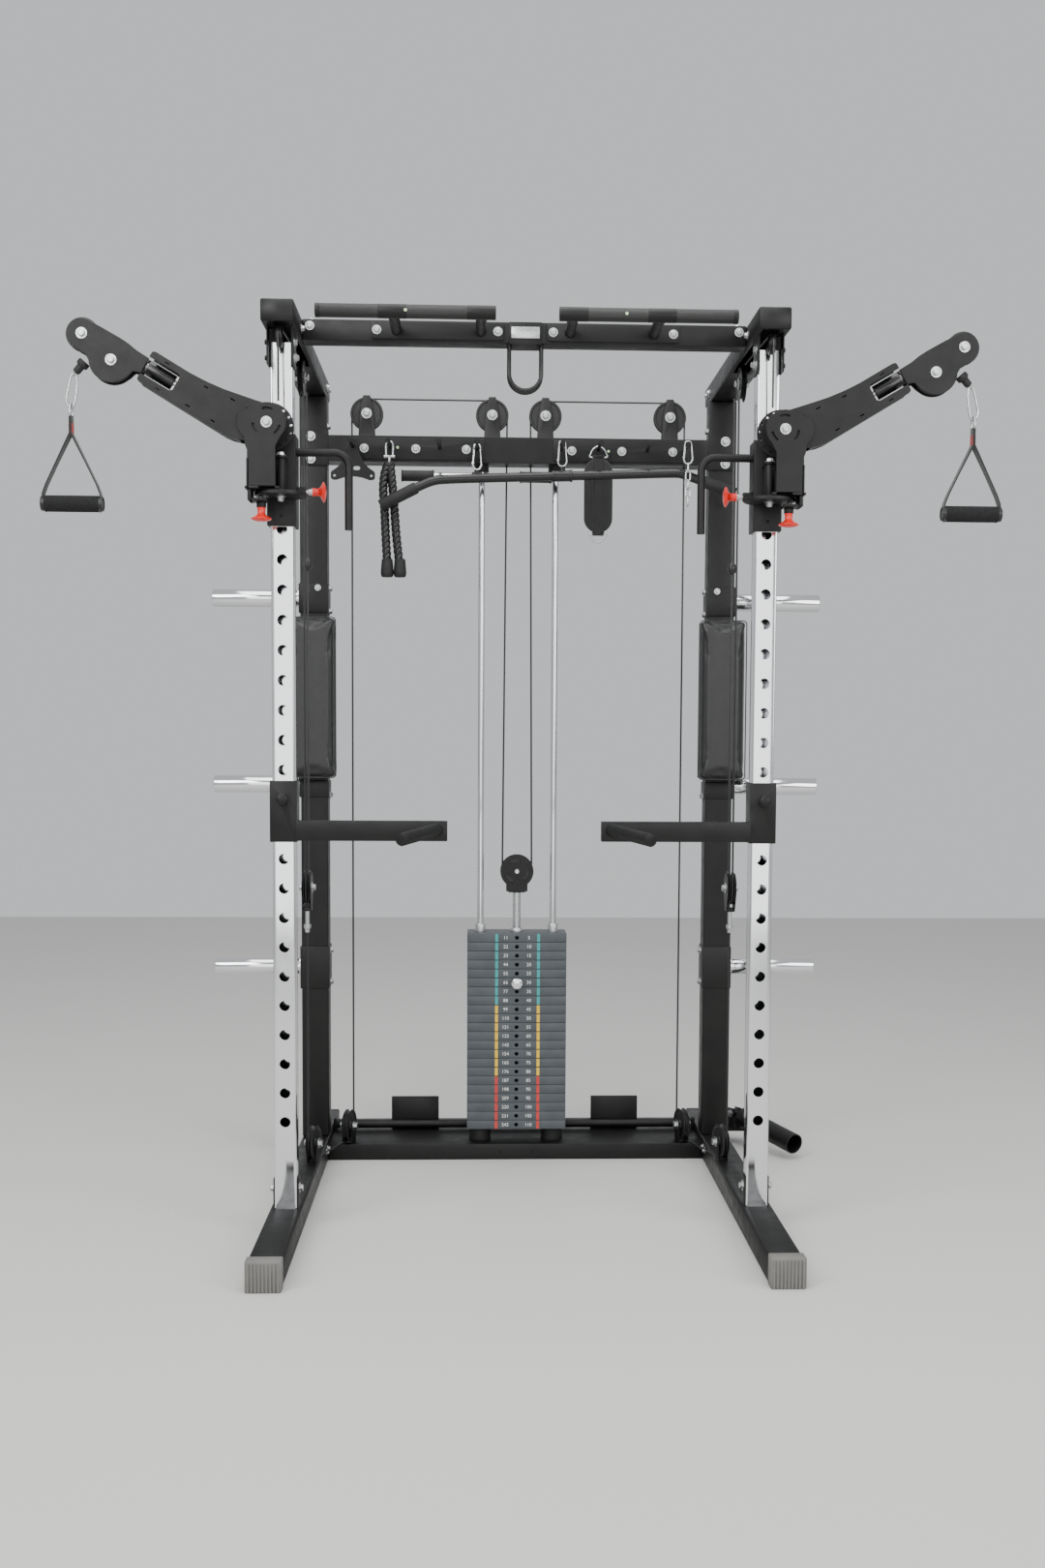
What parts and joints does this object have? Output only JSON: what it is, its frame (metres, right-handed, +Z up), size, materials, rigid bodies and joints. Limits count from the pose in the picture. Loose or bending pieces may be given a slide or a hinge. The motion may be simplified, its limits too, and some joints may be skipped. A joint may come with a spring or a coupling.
{
  "type": "functional trainer",
  "caption": "Cable gym machine with a central weight stack, chrome uprights, height-adjustable swivel arms with hand grips, pull-up bars, pads and hung accessories.",
  "frame": {"origin": "on the floor, at the middle of the overall width and depth", "axes": "+Z up, the user stands on the -Y side facing +Y, +X to the user's right"},
  "size_m": [2.201, 1.55, 2.18],
  "materials": {
    "frame_black": "fine textured black powder coat",
    "upright_chrome": "polished chrome plate",
    "cap_grey": "grey moulded plastic",
    "plate_grey": "smooth slate-grey paint",
    "wheel_black": "black nylon",
    "pad_vinyl": "black upholstery vinyl over foam",
    "knob_red": "glossy red plastic",
    "cable_black": "black nylon-coated steel cable",
    "strap_black": "black woven webbing",
    "foam_black": "black foam grip",
    "link_zinc": "zinc-plated steel"
  },
  "bodies": {
    "frame": {"base_rail_left": "frame_black", "base_rail_right": "frame_black", "front_foot_cap_left": "cap_grey", "front_foot_cap_right": "cap_grey", "front_upright_left": "upright_chrome", "front_upright_right": "upright_chrome", "rear_upright_left": "frame_black", "rear_upright_right": "frame_black", "top_rail_left": "frame_black", "top_rail_right": "frame_black", "pullup_bar_left": "frame_black", "pullup_bar_right": "frame_black", "guide_rod_left": "upright_chrome", "guide_rod_right": "upright_chrome", "arm_pad_left": "pad_vinyl", "arm_pad_right": "pad_vinyl", "cable_left": "cable_black", "cable_right": "cable_black", "base_crossmember": "frame_black", "top_crossmember": "frame_black", "rear_crossmember": "frame_black", "resting_plates": "plate_grey", "stack_cable": "cable_black", "arm_cable_left": "cable_black", "arm_cable_right": "cable_black"},
    "lifted_stack": {"selected_plates": "plate_grey", "selector_stem": "frame_black"},
    "stack_pulley": {"stack_pulley": "wheel_black"},
    "selector_pin": {"selector_pin": "link_zinc"},
    "landmine": {"landmine": "frame_black"},
    "tricep_rope": {"tricep_rope": "strap_black"},
    "lat_bar": {"lat_bar": "frame_black"},
    "straight_bar": {"straight_bar": "link_zinc"},
    "ankle_strap": {"ankle_strap": "strap_black"},
    "chain": {"chain": "link_zinc"},
    "row_handle": {"row_handle": "frame_black"},
    "carriage_left": {"carriage_left": "frame_black"},
    "slide_pin_left": {"slide_pin_left": "knob_red"},
    "yoke_left": {"yoke_left": "frame_black"},
    "swivel_pin_left": {"swivel_pin_left": "knob_red"},
    "arm_left": {"arm_left": "frame_black"},
    "arm_head_left": {"arm_head_left": "frame_black"},
    "handle_left": {"handle_left": "foam_black"},
    "dip_arm_left": {"dip_arm_left": "frame_black"},
    "top_pulley_outer_left": {"top_pulley_outer_left": "wheel_black"},
    "top_pulley_inner_left": {"top_pulley_inner_left": "wheel_black"},
    "base_pulley_inner_left": {"base_pulley_inner_left": "wheel_black"},
    "base_pulley_outer_left": {"base_pulley_outer_left": "wheel_black"},
    "carriage_right": {"carriage_right": "frame_black"},
    "slide_pin_right": {"slide_pin_right": "knob_red"},
    "yoke_right": {"yoke_right": "frame_black"},
    "swivel_pin_right": {"swivel_pin_right": "knob_red"},
    "arm_right": {"arm_right": "frame_black"},
    "arm_head_right": {"arm_head_right": "frame_black"},
    "handle_right": {"handle_right": "foam_black"},
    "dip_arm_right": {"dip_arm_right": "frame_black"},
    "top_pulley_outer_right": {"top_pulley_outer_right": "wheel_black"},
    "top_pulley_inner_right": {"top_pulley_inner_right": "wheel_black"},
    "base_pulley_inner_right": {"base_pulley_inner_right": "wheel_black"},
    "base_pulley_outer_right": {"base_pulley_outer_right": "wheel_black"}
  },
  "joints": [
    {"name": "stack_lift", "type": "slide", "parent": "frame", "child": "lifted_stack", "axis": [0, 0, 1], "range_m": [0, 0.9], "deforming": ["stack_cable"]},
    {"name": "stack_pulley_spin", "type": "hinge", "parent": "lifted_stack", "child": "stack_pulley", "pos_m": [0, 0.45, 0.816], "axis": [0, 1, 0], "continuous": true},
    {"name": "selector_pin_pull", "type": "slide", "parent": "lifted_stack", "child": "selector_pin", "axis": [0, -1, 0], "range_m": [0, 0.075]},
    {"name": "carriage_slide_left", "type": "slide", "parent": "frame", "child": "carriage_left", "axis": [0, 0, 1], "range_m": [-0.56, 0.07], "deforming": ["arm_cable_left"]},
    {"name": "slide_pin_pull_left", "type": "slide", "parent": "carriage_left", "child": "slide_pin_left", "axis": [1, 0, 0], "range_m": [0, 0.011], "stiffness_N_per_m": 900, "springref_m": -0.004},
    {"name": "arm_swivel_left", "type": "hinge", "parent": "carriage_left", "child": "yoke_left", "pos_m": [-0.563, -0.4, 1.785], "axis": [0, 0, 1], "range_deg": [-8, 90]},
    {"name": "swivel_pin_pull_left", "type": "slide", "parent": "yoke_left", "child": "swivel_pin_left", "axis": [0, 0, -1], "range_m": [0, 0.0085], "stiffness_N_per_m": 900, "springref_m": -0.004},
    {"name": "arm_lift_left", "type": "hinge", "parent": "yoke_left", "child": "arm_left", "pos_m": [-0.5885, -0.4229, 1.898], "axis": [0, 1, 0], "range_deg": [-25, 40]},
    {"name": "head_twist_left", "type": "hinge", "parent": "arm_left", "child": "arm_head_left", "pos_m": [-0.82524, -0.4229, 2.00147], "axis": [-0.8616, 0, 0.5075], "range_deg": [-80, 80]},
    {"name": "handle_swing_left", "type": "hinge", "parent": "arm_head_left", "child": "handle_left", "pos_m": [-0.997, -0.4229, 2.0325], "axis": [0, 1, 0], "range_deg": [-12, 60]},
    {"name": "dip_arm_slide_left", "type": "slide", "parent": "frame", "child": "dip_arm_left", "axis": [0, 0, 1], "range_m": [-0.42, 0]},
    {"name": "top_pulley_outer_spin_left", "type": "hinge", "parent": "frame", "child": "top_pulley_outer_left", "pos_m": [-0.4221, 0.45, 2.087], "axis": [0, 1, 0], "range_deg": [-1300, 1300]},
    {"name": "top_pulley_inner_spin_left", "type": "hinge", "parent": "frame", "child": "top_pulley_inner_left", "pos_m": [-0.0741, 0.45, 2.087], "axis": [0, 1, 0], "range_deg": [-1300, 1300]},
    {"name": "base_pulley_inner_spin_left", "type": "hinge", "parent": "frame", "child": "base_pulley_inner_left", "pos_m": [-0.4738, 0.4098, 0.0945], "axis": [0.969, -0.247, 0], "range_deg": [-1300, 1300]},
    {"name": "base_pulley_outer_spin_left", "type": "hinge", "parent": "frame", "child": "base_pulley_outer_left", "pos_m": [-0.5458, 0.1272, 0.112], "axis": [0.969, -0.247, 0], "range_deg": [-1300, 1300]},
    {"name": "carriage_slide_right", "type": "slide", "parent": "frame", "child": "carriage_right", "axis": [0, 0, 1], "range_m": [-0.56, 0.07], "deforming": ["arm_cable_right"]},
    {"name": "slide_pin_pull_right", "type": "slide", "parent": "carriage_right", "child": "slide_pin_right", "axis": [-1, 0, 0], "range_m": [0, 0.011], "stiffness_N_per_m": 900, "springref_m": -0.004},
    {"name": "arm_swivel_right", "type": "hinge", "parent": "carriage_right", "child": "yoke_right", "pos_m": [0.563, -0.4, 1.785], "axis": [0, 0, -1], "range_deg": [-8, 90]},
    {"name": "swivel_pin_pull_right", "type": "slide", "parent": "yoke_right", "child": "swivel_pin_right", "axis": [0, 0, -1], "range_m": [0, 0.0085], "stiffness_N_per_m": 900, "springref_m": -0.004},
    {"name": "arm_lift_right", "type": "hinge", "parent": "yoke_right", "child": "arm_right", "pos_m": [0.5885, -0.4229, 1.898], "axis": [0, -1, 0], "range_deg": [-25, 40]},
    {"name": "head_twist_right", "type": "hinge", "parent": "arm_right", "child": "arm_head_right", "pos_m": [0.82524, -0.4229, 2.00147], "axis": [0.8616, 0, 0.5075], "range_deg": [-80, 80]},
    {"name": "handle_swing_right", "type": "hinge", "parent": "arm_head_right", "child": "handle_right", "pos_m": [0.997, -0.4229, 2.0325], "axis": [0, -1, 0], "range_deg": [-12, 60]},
    {"name": "dip_arm_slide_right", "type": "slide", "parent": "frame", "child": "dip_arm_right", "axis": [0, 0, 1], "range_m": [-0.42, 0]},
    {"name": "top_pulley_outer_spin_right", "type": "hinge", "parent": "frame", "child": "top_pulley_outer_right", "pos_m": [0.4221, 0.45, 2.087], "axis": [0, 1, 0], "range_deg": [-1300, 1300]},
    {"name": "top_pulley_inner_spin_right", "type": "hinge", "parent": "frame", "child": "top_pulley_inner_right", "pos_m": [0.0741, 0.45, 2.087], "axis": [0, 1, 0], "range_deg": [-1300, 1300]},
    {"name": "base_pulley_inner_spin_right", "type": "hinge", "parent": "frame", "child": "base_pulley_inner_right", "pos_m": [0.4738, 0.4098, 0.0945], "axis": [0.969, 0.247, 0], "range_deg": [-1300, 1300]},
    {"name": "base_pulley_outer_spin_right", "type": "hinge", "parent": "frame", "child": "base_pulley_outer_right", "pos_m": [0.5458, 0.1272, 0.112], "axis": [0.969, 0.247, 0], "range_deg": [-1300, 1300]},
    {"name": "landmine_lift", "type": "hinge", "parent": "frame", "child": "landmine", "pos_m": [0.655, 0.6, 0.085], "axis": [-0.8712, -0.4909, 0], "range_deg": [0, 70]},
    {"name": "row_handle_swing", "type": "hinge", "parent": "frame", "child": "row_handle", "pos_m": [-0.457, 0.392, 1.99], "axis": [0, 1, 0], "range_deg": [-8, 8]},
    {"name": "tricep_rope_swing", "type": "hinge", "parent": "frame", "child": "tricep_rope", "pos_m": [-0.355, 0.357, 1.99], "axis": [0, 1, 0], "range_deg": [-3, 3]},
    {"name": "straight_bar_swing", "type": "hinge", "parent": "frame", "child": "straight_bar", "pos_m": [-0.116, 0.392, 1.99], "axis": [0, 1, 0], "range_deg": [-2, 2]},
    {"name": "lat_bar_swing", "type": "hinge", "parent": "frame", "child": "lat_bar", "pos_m": [0.116, 0.322, 1.99], "axis": [0, 1, 0], "range_deg": [-2, 2]},
    {"name": "ankle_strap_swing", "type": "hinge", "parent": "frame", "child": "ankle_strap", "pos_m": [0.219, 0.385, 1.99], "axis": [0, 1, 0], "range_deg": [-10, 10]},
    {"name": "chain_swing", "type": "hinge", "parent": "frame", "child": "chain", "pos_m": [0.457, 0.3, 1.99], "axis": [0, 1, 0], "range_deg": [0, 12]}
  ],
  "couplings": [
    {"joint": "top_pulley_outer_spin_left", "follows": "stack_lift", "rad_per_m": -24.096},
    {"joint": "top_pulley_inner_spin_left", "follows": "stack_lift", "rad_per_m": -24.096},
    {"joint": "base_pulley_inner_spin_left", "follows": "stack_lift", "rad_per_m": -24.096},
    {"joint": "base_pulley_outer_spin_left", "follows": "stack_lift", "rad_per_m": -24.096},
    {"joint": "top_pulley_outer_spin_right", "follows": "stack_lift", "rad_per_m": 24.096},
    {"joint": "top_pulley_inner_spin_right", "follows": "stack_lift", "rad_per_m": 24.096},
    {"joint": "base_pulley_inner_spin_right", "follows": "stack_lift", "rad_per_m": -24.096},
    {"joint": "base_pulley_outer_spin_right", "follows": "stack_lift", "rad_per_m": -24.096}
  ]
}
